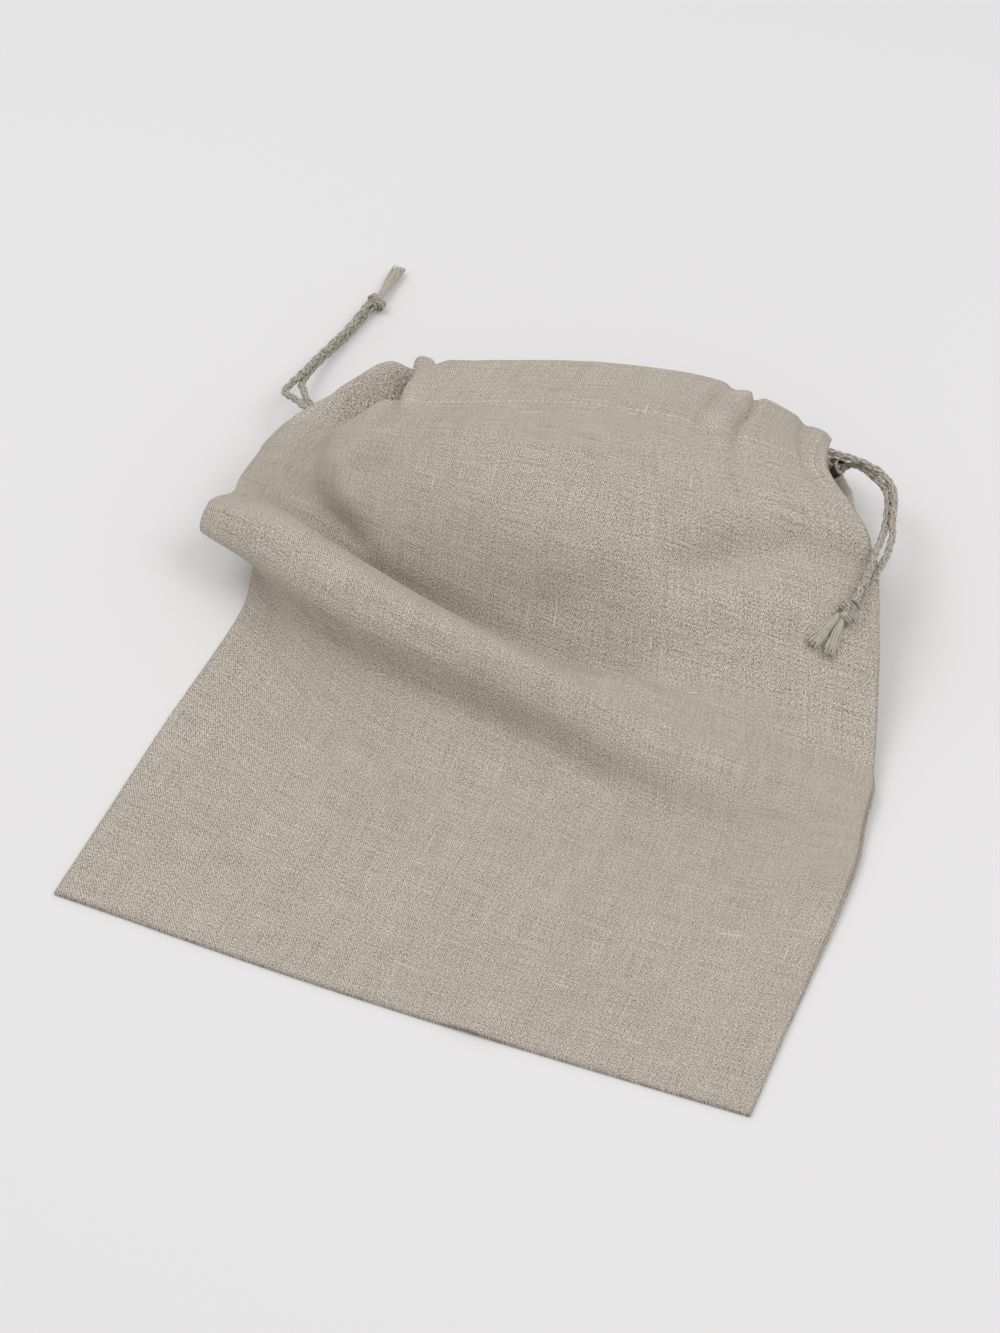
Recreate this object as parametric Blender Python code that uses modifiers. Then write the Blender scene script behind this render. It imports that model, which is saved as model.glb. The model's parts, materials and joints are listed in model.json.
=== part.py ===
"""Linen bread bag: two linen panels joined at the sides and bottom, drawn up with two drawstrings.

The bag lies on its back panel. Its lower half is flat, a standing fold of both panels runs across
its middle, and its upper half keeps the round form of a loaf, with the mouth open at the far end.
Metres, +Z up, +X across the bag, +Y towards the mouth.
"""

import math
from collections import namedtuple

import bmesh
import bpy
import numpy as np
from mathutils import Vector

MM = 0.001
CLOTH_THICKNESS = 1.2 * MM
PIECE_GAP = 0.3 * MM
LAYER_STEP = CLOTH_THICKNESS + PIECE_GAP
PANEL_WIDTH = 360 * MM
CORD_DIAMETER = 4.2 * MM
CHANNEL_STEP = 6.4 * MM
CORD_POINT_STEP = 9 * MM

# Where the bag's lower left corner lies, seen from the middle of the footprint of its cloth.
BAG_CORNER = (-163.9 * MM, -218.85 * MM, 0.0)

# The guide lines run up the panel at these shares of its width; steps is the number of cells between them.
Guide = namedtuple("Guide", "share steps")
GUIDES = [Guide(0.0, 4), Guide(0.1, 4), Guide(0.2, 6), Guide(0.5, 6), Guide(0.8, 5), Guide(1.0, 0)]

# A section crosses the panel. Its places are the middle of the cloth's thickness at each guide line, as
# (x, y, z) in millimetres from the bag's lower left corner; steps is the number of cells to the next one.
Section = namedtuple("Section", "name steps left_seam tenth fifth middle four_fifths right_seam")
FRONT_SECTIONS = [
    Section("bottom", 2, (0, 0, 2.1), (36, -1, 2.1), (72, -2.3, 2.1),
            (180, -4, 2.1), (288, -2, 2.1), (360, 0, 2.1)),
    Section("flat", 2, (0.5, 120, 2.1), (36, 112, 2.1), (72, 105, 2.1),
            (180, 90, 2.1), (288, 85, 2.1), (360, 90, 2.1)),
    Section("foot", 2, (3, 222, 2.7), (37, 204, 2.7), (71, 188, 2.7),
            (176, 158, 2.8), (287, 132, 2.4), (360, 150, 2.1)),
    Section("tuck", 2, (-7, 250, 12), (30, 227, 10), (66, 204, 9),
            (174, 172, 9), (286, 146, 4.5), (359.5, 165, 2.6)),
    Section("face", 3, (-30, 232, 28), (9, 216, 28), (50, 199, 28),
            (170, 178, 21), (284, 166, 11), (357, 180, 3.6)),
    Section("crest", 2, (-28, 240, 45), (10, 232, 51.5), (50, 218, 50.5),
            (164, 198, 42), (281, 191, 22), (355, 197, 6)),
    Section("back", 3, (-31, 254, 40), (9, 248, 47), (52, 240, 39),
            (161, 215, 32), (279, 206, 18), (354, 209, 6.6)),
    Section("valley", 2, (-32, 269, 34), (8, 263, 39), (50, 257, 14),
            (159, 235, 11), (276, 220, 15), (351, 222, 7.6)),
    Section("rise", 3, (-31, 279, 32), (8, 278, 36), (48, 270, 26),
            (156, 248, 28), (271, 237, 22), (345, 244, 13)),
    Section("flank", 2, (-28, 290, 34), (9, 291, 42), (47, 286, 52),
            (151, 275, 62), (258, 278, 54), (330, 293, 30)),
    Section("top", 2, (-25, 302, 37), (12, 305, 55), (48, 303, 70),
            (146, 312, 85), (240, 318, 77), (308, 348, 40)),
    Section("stitching", 4, (-17, 324, 41), (21, 330, 62), (55, 322, 77),
            (140, 341, 88.5), (216, 358, 82), (279, 389, 40)),
    Section("mouth", 0, (4, 351, 47), (32, 365, 66), (62, 358, 79),
            (145, 378, 87.5), (216, 403, 72), (264, 420, 38.5)),
]
# Up to the standing fold's back the back panel follows the front panel from inside, this far from it. At
# the seams it lies against it.
Follow = namedtuple("Follow", "name gap")
BACK_FOLLOWS = [
    Follow("bottom", 1.5), Follow("flat", 1.5), Follow("foot", 1.7),
    Follow("tuck", 2.2), Follow("face", 3.0), Follow("crest", 3.2), Follow("back", 3.0),
]
BACK_SECTIONS = [
    Section("landing", 1, (-32, 269, 32.4), (9, 259, 16), (50, 256, 3.5),
            (159, 236, 2.6), (276, 221, 5), (351, 222, 6.1)),
    Section("rise", 2, (-31, 279.5, 30.5), (9, 273, 12), (47, 270, 0.6),
            (156, 252, 0.6), (272, 240, 0.6), (345, 245, 11.4)),
    Section("flank", 2, (-28, 290.6, 32.5), (6, 291, 12), (40, 295, 0.6),
            (148, 298, 0.6), (262, 296, 0.6), (330, 293.5, 28.4)),
    Section("top", 2, (-25, 302, 35.4), (4, 313, 12), (33, 323, 0.6),
            (140, 348, 0.6), (250, 352, 0.6), (308, 348, 38.4)),
    Section("stitching", 4, (-18.5, 325, 28), (2, 337, 11), (27, 349, 0.6),
            (133, 381, 0.6), (239, 404, 0.6), (280, 388, 31)),
    Section("mouth", 0, (-11, 357.5, 16), (4, 371, 7), (21, 384, 0.6),
            (127, 415, 0.6), (232, 438, 0.6), (270, 424, 16)),
]


def smooth(points, knots, at):
    """Points read at the given places from a smooth curve that passes through points at their knots."""
    points = np.asarray(points, float)
    knots = np.asarray(knots, float)
    spans = np.diff(knots)
    rates = np.diff(points, axis=0) / spans[:, None]
    slopes = np.empty_like(points)
    slopes[1:-1] = rates[:-1] * spans[1:, None] + rates[1:] * spans[:-1, None]
    slopes[1:-1] /= (spans[1:] + spans[:-1])[:, None]
    slopes[0] = 1.5 * rates[0] - 0.5 * slopes[1]
    slopes[-1] = 1.5 * rates[-1] - 0.5 * slopes[-2]
    at = np.asarray(at, float)
    cell = np.clip(np.searchsorted(knots, at, side="right") - 1, 0, len(spans) - 1)
    span = spans[cell][:, None]
    t = ((at - knots[cell]) / spans[cell])[:, None]
    return (
        (2 * t**3 - 3 * t**2 + 1) * points[cell]
        + (t**3 - 2 * t**2 + t) * span * slopes[cell]
        + (3 * t**2 - 2 * t**3) * points[cell + 1]
        + (t**3 - t**2) * span * slopes[cell + 1]
    )


def stations(knots, steps):
    """The places of the grid lines: each stretch between two knots is cut into its number of cells."""
    places = [
        low + (high - low) * i / count
        for low, high, count in zip(knots, knots[1:], steps)
        for i in range(count)
    ]
    return np.array(places + [knots[-1]])


def guide_columns():
    return np.cumsum([0] + [guide.steps for guide in GUIDES[:-1]])


def loft(rows, steps):
    """The grid of points of a panel, one line across for each station along its guide lines."""
    shares = stations([guide.share for guide in GUIDES], [guide.steps for guide in GUIDES])
    knots = [guide.share for guide in GUIDES]
    across = np.array([smooth(row, knots, shares) for row in rows])
    columns = []
    for line in range(len(shares)):
        column = across[:, line]
        chords = np.sqrt(np.linalg.norm(np.diff(column, axis=0), axis=1))
        along = np.concatenate([[0], np.cumsum(chords)])
        columns.append(smooth(column, along, stations(along, steps)))
    return np.array(columns).transpose(1, 0, 2)


def normals(grid):
    up = np.cross(np.gradient(grid, axis=1), np.gradient(grid, axis=0))
    return up / np.linalg.norm(up, axis=2, keepdims=True)


def bend_stretch(grid):
    """How much further a layer goes along each normal, so that it keeps its distance from the bent faces."""
    faces = np.cross(grid[1:, 1:] - grid[:-1, :-1], grid[1:, :-1] - grid[:-1, 1:])
    faces /= np.linalg.norm(faces, axis=2, keepdims=True)
    faces = np.pad(faces, ((1, 1), (1, 1), (0, 0)), "edge")
    around = [faces[:-1, :-1], faces[:-1, 1:], faces[1:, :-1], faces[1:, 1:]]
    facing = np.min([(normals(grid) * face).sum(axis=2) for face in around], axis=0)
    return 1 / np.maximum(facing, 0.5)


def places(section):
    return np.array(section[2:], float) * MM


# A fold is a trough (negative depth) or ridge along a path on the flat cloth. Its places are millimetres
# across from the left seam and up from the bottom edge.
Fold = namedtuple("Fold", "name depth width path")
FRONT_FOLDS = [
    Fold("mouth_crease", -7, 9, [(44, 452), (46, 412)]),
    Fold("crease_tail", -4, 12, [(40, 408), (24, 398)]),
    Fold("mouth_notch", -2, 8, [(68, 450), (68, 440)]),
    Fold("pillow", 3, 14, [(66, 400), (60, 370)]),
    Fold("right_pleat", -5, 10, [(298, 450), (298, 415)]),
    Fold("right_flank_dent", -3, 14, [(275, 300), (310, 322), (322, 326)]),
    Fold("bottom_lift", 1.6, 12, [(224, 0), (262, 55)]),
]


def distance_to_path(across, along, path):
    nearest = np.full(across.shape, np.inf)
    for (x0, y0), (x1, y1) in zip(path, path[1:]):
        dx, dy = x1 - x0, y1 - y0
        t = np.clip(((across - x0) * dx + (along - y0) * dy) / (dx * dx + dy * dy), 0, 1)
        nearest = np.minimum(nearest, np.hypot(across - x0 - t * dx, along - y0 - t * dy))
    return nearest


def folded(grid, folds):
    """The panel with its folds pressed in or raised along its own normals."""
    shares = stations([guide.share for guide in GUIDES], [guide.steps for guide in GUIDES])
    steps_up = np.linalg.norm(np.diff(grid, axis=0), axis=2)
    along = np.vstack([np.zeros(grid.shape[1]), np.cumsum(steps_up, axis=0)]) / MM
    across = np.broadcast_to(shares * PANEL_WIDTH / MM, along.shape)
    lift = np.zeros(along.shape)
    for fold in folds:
        lift += fold.depth * MM * np.exp(-((distance_to_path(across, along, fold.path) / fold.width) ** 2))
    return grid + normals(grid) * lift[:, :, None]


# The hem of the mouth is turned in and sewn down, which leaves a channel for the cords. Each row is one
# line across its inner layer, counted in cells back from the mouth, and its distance from the panel.
HemLine = namedtuple("HemLine", "cells_back step")
HEM_LINES = [HemLine(0, 6.4), HemLine(1, 6.4), HemLine(2, 6.4), HemLine(3, 5.6), HemLine(4, 1.5)]
HEM_TURN_ANGLES = [45, 90, 135]


def with_hem(grid, inward):
    """The panel with its mouth edge turned round and laid back inside; inward points into the bag."""
    radius = CHANNEL_STEP / 2
    onward = grid[-1] - grid[-2]
    onward /= np.linalg.norm(onward, axis=1, keepdims=True)
    centre = grid[-1] + inward[-1] * radius
    turn = [
        centre + radius * (onward * math.sin(angle) - inward[-1] * math.cos(angle))
        for angle in map(math.radians, HEM_TURN_ANGLES)
    ]
    lining = [
        grid[-1 - line.cells_back] + inward[-1 - line.cells_back] * line.step * MM for line in HEM_LINES
    ]
    return np.concatenate([grid, turn, lining])


def draped_front():
    rows = [places(section) for section in FRONT_SECTIONS]
    grid = loft(rows, [section.steps for section in FRONT_SECTIONS[:-1]])
    grid[:, :, 2] = np.maximum(grid[:, :, 2], LAYER_STEP + CLOTH_THICKNESS / 2)
    return grid


def front_panel_grid():
    return folded(draped_front(), FRONT_FOLDS)


def back_panel_grid():
    """The back panel, which follows the front panel as far as the standing fold and then lies flat."""
    steps = [section.steps for section in FRONT_SECTIONS[: len(BACK_FOLLOWS)]]
    front = draped_front()
    inward = -normals(front)
    knots = np.cumsum([0, *steps[:-1]])
    line_gaps = np.interp(np.arange(knots[-1] + 1), knots, [follow.gap for follow in BACK_FOLLOWS])
    gaps = np.tile(line_gaps[:, None] * MM, front.shape[1])
    gaps[:, [0, -1]] = LAYER_STEP
    gaps *= bend_stretch(front)[: len(gaps)]
    following = front[: len(gaps)] + inward[: len(gaps)] * gaps[:, :, None]
    rows = [following[line, guide_columns()] for line in knots]
    rows += [places(section) for section in BACK_SECTIONS]
    grid = loft(rows, steps + [section.steps for section in BACK_SECTIONS[:-1]])
    grid[: len(following)] = following
    grid[:, :, 2] = np.maximum(grid[:, :, 2], CLOTH_THICKNESS / 2)
    return grid


def material(name, colour, roughness):
    made = bpy.data.materials.new(name)
    made.use_nodes = True
    shader = made.node_tree.nodes["Principled BSDF"]
    shader.inputs["Base Color"].default_value = (*colour, 1)
    shader.inputs["Roughness"].default_value = roughness
    shader.inputs["Metallic"].default_value = 0
    return made


def add_object(name, data, finish, collection):
    data.materials.append(finish)
    made = bpy.data.objects.new(name, data)
    made.location = BAG_CORNER
    collection.objects.link(made)
    return made


def add_cloth(name, grid, finish, collection):
    """A flat grid bent to the panel's points and thickened equally to both sides."""
    lines, columns = grid.shape[:2]
    mesh = bpy.data.meshes.new(name)
    shape = bmesh.new()
    bmesh.ops.create_grid(shape, x_segments=columns - 1, y_segments=lines - 1, size=1)
    for corner in shape.verts:
        line = round((corner.co.y + 1) / 2 * (lines - 1))
        column = round((corner.co.x + 1) / 2 * (columns - 1))
        corner.co = grid[line, column]
    bmesh.ops.triangulate(shape, faces=shape.faces, quad_method="FIXED")
    shape.to_mesh(mesh)
    shape.free()
    mesh.shade_smooth()
    made = add_object(name, mesh, finish, collection)
    thicken = made.modifiers.new("thickness", "SOLIDIFY")
    thicken.thickness = CLOTH_THICKNESS
    thicken.offset = 0
    return made


def even_points(route, step):
    """Points about a step apart along the smooth curve through a route's own points."""
    route = np.asarray(route, float)
    along = np.concatenate([[0], np.cumsum(np.linalg.norm(np.diff(route, axis=0), axis=1))])
    count = max(2, round(along[-1] / step) + 1)
    return smooth(route, along, np.linspace(0, along[-1], count))


def add_cord(name, points, finish, collection):
    curve = bpy.data.curves.new(name, "CURVE")
    curve.dimensions = "3D"
    curve.bevel_depth = CORD_DIAMETER / 2
    curve.bevel_resolution = 2
    curve.use_fill_caps = True
    spline = curve.splines.new("POLY")
    spline.points.add(len(points) - 1)
    for point, place in zip(spline.points, points):
        point.co = (*place, 1)
    return add_object(name, curve, finish, collection)


def channel_line(grid, inward, cells_back):
    """The middle of the channel, along the line that many cells back from the mouth."""
    return grid[-1 - cells_back] + inward[-1 - cells_back] * CHANNEL_STEP / 2


# The free ends of the drawstrings, in millimetres from the bag's lower left corner: each runs from inside
# its channel, out at the slit and on to the knot that ties it to its fellow.
STRAND_ROUTES = {
    "left_cord_front_end": [
        (2.3, 340.1, 46.4), (-5.8, 336.5, 41.4), (-10.0, 335.9, 39.4), (-14.0, 337.5, 37.4),
        (-17.8, 341.0, 35.2), (-22.2, 345.2, 32.8), (-28.2, 350.2, 29.8), (-34.3, 355.2, 26.2),
        (-38.8, 360.4, 23.0), (-41.1, 366.4, 20.4), (-41.6, 373.1, 18.2), (-41.6, 381.2, 16.4),
        (-41.6, 389.8, 14.8), (-41.4, 398.0, 13.2), (-41.0, 408.2, 11.4), (-40.0, 417.6, 9.8),
        (-38.7, 427.0, 8.4), (-37.4, 435.5, 7.5), (-36.2, 444.2, 7.1), (-35.2, 452.5, 7.1),
        (-34.4, 460.0, 7.3), (-33.8, 466.2, 7.6),
    ],
    "left_cord_back_end": [
        (-9.1, 344.1, 21.7), (-12.9, 341.3, 24.9), (-16.6, 339.9, 27.0), (-20.8, 340.3, 27.6),
        (-24.4, 342.9, 27.3), (-26.2, 347.6, 25.9), (-26.9, 353.9, 24.2), (-27.8, 361.0, 22.2),
        (-29.4, 366.8, 20.4), (-32.0, 372.4, 17.6), (-34.4, 378.4, 14.9), (-36.5, 385.2, 12.6),
        (-38.1, 392.8, 10.2), (-39.0, 400.6, 8.0), (-39.0, 409.8, 5.8), (-38.3, 418.5, 4.4),
        (-37.0, 427.4, 3.4), (-35.7, 435.7, 2.9), (-34.4, 444.9, 2.7), (-33.2, 454.0, 2.8),
        (-32.2, 464.8, 3.2),
    ],
    "right_cord_front_end": [
        (255.3, 407.3, 44.3), (260.4, 409.4, 40.4), (265.6, 411.5, 36.4), (270.2, 413.6, 34.2),
        (275.6, 415.2, 33.6), (281.4, 415.4, 33.4), (287.4, 414.6, 33.2), (293.8, 412.2, 32.6),
        (299.4, 407.7, 32.2), (304.2, 400.6, 32.0), (307.7, 391.8, 32.2), (310.3, 382.2, 32.8),
        (312.6, 373.6, 33.6), (315.2, 363.7, 34.8), (317.2, 353.0, 36.6), (318.1, 343.1, 38.5),
        (318.2, 332.8, 40.3), (317.9, 324.2, 41.2), (317.3, 315.4, 41.6), (316.7, 307.0, 41.7),
        (316.0, 298.8, 41.7),
    ],
    "right_cord_back_end": [
        (264.2, 419.7, 18.6), (270.3, 416.0, 22.9), (273.7, 415.2, 25.0), (277.4, 415.9, 26.9),
        (281.6, 416.0, 28.0), (286.2, 414.2, 28.0), (290.8, 411.2, 27.6), (295.1, 406.4, 27.3),
        (299.4, 400.2, 27.2), (303.4, 392.3, 27.4), (306.8, 383.8, 28.2), (309.3, 373.3, 30.0),
        (310.9, 361.5, 33.6), (312.0, 349.1, 38.8), (313.2, 337.4, 43.4), (314.4, 326.4, 45.8),
        (315.0, 316.0, 46.6), (315.1, 306.6, 46.8), (314.6, 297.4, 46.2),
    ],
}

# Inside the casing a cord runs along one line of the channel, counted in cells back from the mouth. From its
# knot's side it goes along the front (direction 1 is from left to right), round the far slit by its loop
# and back along the back panel.
CasingRun = namedtuple("CasingRun", "name cells_back direction loop")
CASING_RUNS = [
    CasingRun("left_cord_in_casing", 2, 1,
              [(272.2, 404.4, 34.6), (273.4, 405.6, 32.0), (273.2, 406.8, 29.4)]),
    CasingRun("right_cord_in_casing", 1, -1,
              [(-4.0, 341.4, 40.4), (-9.0, 342.4, 36.2), (-14.2, 343.6, 31.0), (-16.0, 346.2, 25.6)]),
]

# A knot is a flattened ball with the turns of its cords winding round it. Its sizes lie across its cords,
# along them and up from what it rests on; heading is the bearing of its cords, up the way that it rises.
Knot = namedtuple("Knot", "name centre across along height heading up")
KNOTS = [
    Knot("left_knot", (-31.0, 471.6, 5.2), 13.4, 10.4, 9.4, (0.02, 1, 0), (0, 0, 1)),
    Knot("right_knot", (312.7, 290.2, 42.8), 12.6, 11.0, 9.0, (-0.35, -1, -0.1), (0.36, -0.06, 0.93)),
]
KNOT_TURNS = 3
KNOT_TURN_DEPTH = 0.07
KNOT_TWIST = 2.2

# Past its knot a cord is unlaid: the loose yarns widen and flatten towards the end. A route runs in
# millimetres from the knot; sizes are the width and height of the bundle along it.
Tuft = namedtuple("Tuft", "name route widths heights up")
TUFTS = [
    Tuft("left_frayed_end", [(-31.2, 477.4, 5.0), (-31.5, 487.8, 4.2), (-32.0, 497.2, 3.3),
                             (-31.7, 507.4, 2.6)],
         (4.6, 5.4, 7.6, 9.6), (4.4, 4.2, 3.8, 3.2), (0, 0, 1)),
    Tuft("right_frayed_end_1", [(307.6, 285.2, 41.3), (305.4, 279.0, 39.9), (302.9, 272.7, 38.3),
                                (300.4, 267.4, 36.9)],
         (3.0, 4.2, 5.4, 7.6), (3.8, 3.6, 3.2, 2.8), (0.32, -0.3, 0.88)),
    Tuft("right_frayed_end_2", [(311.0, 284.4, 40.2), (311.1, 279.0, 38.0), (311.0, 273.0, 35.6),
                                (310.8, 267.0, 33.2)],
         (3.4, 4.2, 5.4, 7.4), (3.8, 3.6, 3.2, 2.8), (0.32, -0.3, 0.88)),
]
TUFT_YARNS = 5
TUFT_YARN_DEPTH = 0.10


def frame_of(heading, up):
    """Unit vectors across, along and up, with up turned square to the heading."""
    along = Vector(heading).normalized()
    across = Vector(up).cross(along).normalized()
    return across, along, along.cross(across)


def add_knot(knot, finish, collection):
    mesh = bpy.data.meshes.new(knot.name)
    shape = bmesh.new()
    bmesh.ops.create_uvsphere(shape, u_segments=18, v_segments=10, radius=0.5)
    across, along, up = frame_of(knot.heading, knot.up)
    for corner in shape.verts:
        x, y, z = corner.co
        turn = KNOT_TURNS * math.atan2(y, x) + KNOT_TWIST * math.tau * z
        swell = 1 + KNOT_TURN_DEPTH * (math.cos(turn) - 1) * min(1, 4 * math.hypot(x, y))
        corner.co = Vector(knot.centre) * MM + swell * MM * (
            across * x * knot.across + up * y * knot.height + along * z * knot.along
        )
    shape.to_mesh(mesh)
    shape.free()
    mesh.shade_smooth()
    return add_object(knot.name, mesh, finish, collection)


def add_tuft(tuft, finish, collection):
    mesh = bpy.data.meshes.new(tuft.name)
    shape = bmesh.new()
    bmesh.ops.create_cone(shape, cap_ends=True, segments=20, radius1=0.5, radius2=0.5, depth=1)
    lengthwise = [edge for edge in shape.edges if abs(edge.verts[0].co.z - edge.verts[1].co.z) > 0.5]
    bmesh.ops.subdivide_edges(shape, edges=lengthwise, cuts=len(tuft.route) - 2, use_grid_fill=True)
    lowest = np.linspace(0, 1, len(tuft.route))
    heading = Vector(tuft.route[-1]) - Vector(tuft.route[0])
    across, _, up = frame_of(heading, tuft.up)
    for corner in shape.verts:
        share = corner.co.z + 0.5
        middle = Vector([np.interp(share, lowest, axis) for axis in zip(*tuft.route)])
        yarn = math.cos(TUFT_YARNS * 2 * math.atan2(corner.co.y, corner.co.x))
        swell = 1 + TUFT_YARN_DEPTH * share * (yarn - 1)
        width = np.interp(share, lowest, tuft.widths) * swell
        height = np.interp(share, lowest, tuft.heights) * swell
        corner.co = MM * (middle + across * corner.co.x * width + up * corner.co.y * height)
    shape.to_mesh(mesh)
    shape.free()
    return add_object(tuft.name, mesh, finish, collection)


def main():
    for leftover in list(bpy.data.objects):
        bpy.data.objects.remove(leftover, do_unlink=True)
    bag = bpy.data.collections.new("linen_bread_bag")
    bpy.context.scene.collection.children.link(bag)
    linen = material("linen", (0.42, 0.37, 0.31), 0.9)
    braid = material("linen_cord", (0.36, 0.32, 0.27), 0.9)

    front = front_panel_grid()
    back = back_panel_grid()
    front_inward = -normals(front)
    back_inward = normals(back)
    add_cloth("front_panel", with_hem(front, front_inward), linen, bag)
    add_cloth("back_panel", with_hem(back, back_inward), linen, bag)

    for run in CASING_RUNS:
        front_run = channel_line(front, front_inward, run.cells_back)[:: run.direction][1:]
        back_run = channel_line(back, back_inward, run.cells_back)[:: run.direction][1:]
        add_cord(run.name, [*front_run, *(np.array(run.loop) * MM), *back_run[::-1]], braid, bag)
    for name, route in STRAND_ROUTES.items():
        add_cord(name, even_points(np.array(route) * MM, CORD_POINT_STEP), braid, bag)
    for knot in KNOTS:
        add_knot(knot, braid, bag)
    for tuft in TUFTS:
        add_tuft(tuft, braid, bag)


if __name__ == "__main__":
    main()
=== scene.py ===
import json
import math

import bpy
import numpy as np
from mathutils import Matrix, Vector

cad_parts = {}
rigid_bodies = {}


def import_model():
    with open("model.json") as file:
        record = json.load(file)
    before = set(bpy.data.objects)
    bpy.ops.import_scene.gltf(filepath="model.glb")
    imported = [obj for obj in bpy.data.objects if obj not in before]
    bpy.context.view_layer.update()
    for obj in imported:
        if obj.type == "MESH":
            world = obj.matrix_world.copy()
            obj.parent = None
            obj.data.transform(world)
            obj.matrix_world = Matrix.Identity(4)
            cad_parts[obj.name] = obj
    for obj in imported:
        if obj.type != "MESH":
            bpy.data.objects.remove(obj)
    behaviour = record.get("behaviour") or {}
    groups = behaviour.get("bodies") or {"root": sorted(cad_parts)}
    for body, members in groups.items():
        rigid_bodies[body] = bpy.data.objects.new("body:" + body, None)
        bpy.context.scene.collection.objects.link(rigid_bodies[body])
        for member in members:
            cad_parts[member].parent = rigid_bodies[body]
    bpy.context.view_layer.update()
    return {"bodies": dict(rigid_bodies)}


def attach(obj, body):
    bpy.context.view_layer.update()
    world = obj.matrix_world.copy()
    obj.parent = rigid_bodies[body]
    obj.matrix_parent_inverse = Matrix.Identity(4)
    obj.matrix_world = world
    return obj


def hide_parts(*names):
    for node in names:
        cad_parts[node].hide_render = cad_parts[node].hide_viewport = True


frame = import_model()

mm = 0.001
bagCorner = np.array((-0.1639, -0.21885, 0.0))  # the bag's lower left corner, from which its tables count
body = list(frame["bodies"])[0]


def linked(name, data):
    made = bpy.data.objects.new(name, data)
    bpy.context.collection.objects.link(made)
    return made


# Camera and light

view = {
    "place": (0.4081, -1.06105, 1.1912), "turn": (44.0, 0.0, 21.77), "lens": 85.07, "sensor": 36,
    "near": 0.05,
}
camera = linked("camera", bpy.data.cameras.new("camera"))
camera.data.lens = view["lens"]
camera.data.sensor_width = view["sensor"]
camera.data.clip_start = view["near"]
camera.location = view["place"]
camera.rotation_euler = [math.radians(angle) for angle in view["turn"]]
bpy.context.scene.camera = camera

studio = {
    "sky": 0.735, "skyColour": (0.985, 0.99, 1.0),
    "boxes": [  # name, place, size, power, aimed at
        ("leftBox", (-1.0, 0.0, 1.85), (1.0, 1.1), 9.0, (0.0, 0.0, 0.0)),
        ("rightBox", (1.05, 0.05, 1.8), (1.0, 1.1), 8.9, (0.0, 0.0, 0.0)),
    ],
}
world = bpy.data.worlds.new("studio")
world.use_nodes = True
sky = world.node_tree.nodes["Background"]
sky.inputs["Color"].default_value = (*studio["skyColour"], 1)
sky.inputs["Strength"].default_value = studio["sky"]
bpy.context.scene.world = world
for name, place, size, power, target in studio["boxes"]:
    box = linked(name, bpy.data.lights.new(name, "AREA"))
    box.data.shape = "RECTANGLE"
    box.data.size, box.data.size_y = size
    box.data.energy = power
    box.location = place
    box.rotation_euler = (Vector(target) - Vector(place)).to_track_quat("-Z", "Y").to_euler()
bpy.context.scene.view_settings.view_transform = "Standard"
print("camera and lights are in place")


# Node helpers

def newNode(tree, kind, values=None, **settings):
    node = tree.nodes.new(kind)
    for name, value in settings.items():
        setattr(node, name, value)
    for name, value in (values or {}).items():
        if isinstance(value, bpy.types.NodeSocket):
            tree.links.new(value, node.inputs[name])
        else:
            node.inputs[name].default_value = value
    return node


def flow(tree, kind, values=None, **settings):
    # a new node's first output
    return newNode(tree, kind, values, **settings).outputs[0]


def treeOf(values):
    return next(value.id_data for value in values if isinstance(value, bpy.types.NodeSocket))


def calc(operation, *values):
    return flow(treeOf(values), "ShaderNodeMath", dict(enumerate(values)), operation=operation)


def times(*values):
    return calc("MULTIPLY", *values)


def ramp(*values):
    # value, low, high and, where they aren't 0 and 1, what it gives at low and at high
    tree = treeOf(values)
    return flow(tree, "ShaderNodeMapRange", dict(enumerate(values)), interpolation_type="SMOOTHSTEP")


def noise(vector, scale, detail):
    return flow(vector.id_data, "ShaderNodeTexNoise", {"Vector": vector, "Scale": scale, "Detail": detail})


def joined(*parts):
    return flow(treeOf(parts), "ShaderNodeCombineXYZ", dict(enumerate(parts)))


def apart(vector):
    return newNode(vector.id_data, "ShaderNodeSeparateXYZ", {0: vector}).outputs


def grainNoise(across, along, acrossSize, alongSize, layer, detail):
    # noise with grains of that size; each layer has its own pattern
    place = joined(calc("DIVIDE", across, acrossSize), calc("DIVIDE", along, alongSize), layer)
    return noise(place, 1, detail)


def newGroup(name, kind, inputs, outputs):
    # a socket is named with its kind, or with a number, which is then its default
    tree = bpy.data.node_groups.new(name, kind)
    for direction, sockets in (("INPUT", inputs), ("OUTPUT", outputs)):
        for socket, value in sockets.items():
            form = {float: "Float", int: "Int"}.get(type(value), value)
            made = tree.interface.new_socket(socket, in_out=direction, socket_type="NodeSocket" + form)
            if form != value:
                made.default_value = value
    return tree, tree.nodes.new("NodeGroupInput").outputs, tree.nodes.new("NodeGroupOutput")


def newMaterial(name):
    made = bpy.data.materials.new(name)
    made.use_nodes = True
    return made, made.node_tree, made.node_tree.nodes["Principled BSDF"]


def mixColour(share, first, second, blend="MIX"):
    colours = [value if isinstance(value, bpy.types.NodeSocket) else (*value, 1) for value in (first, second)]
    values = {0: share, 6: colours[0], 7: colours[1]}
    tree = treeOf(values.values())
    return newNode(tree, "ShaderNodeMix", values, data_type="RGBA", blend_type=blend).outputs[2]


# Linen woven in a fine twill: every thread has its own tone, and every float its own height.
# Place is metres on the cloth.

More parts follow.
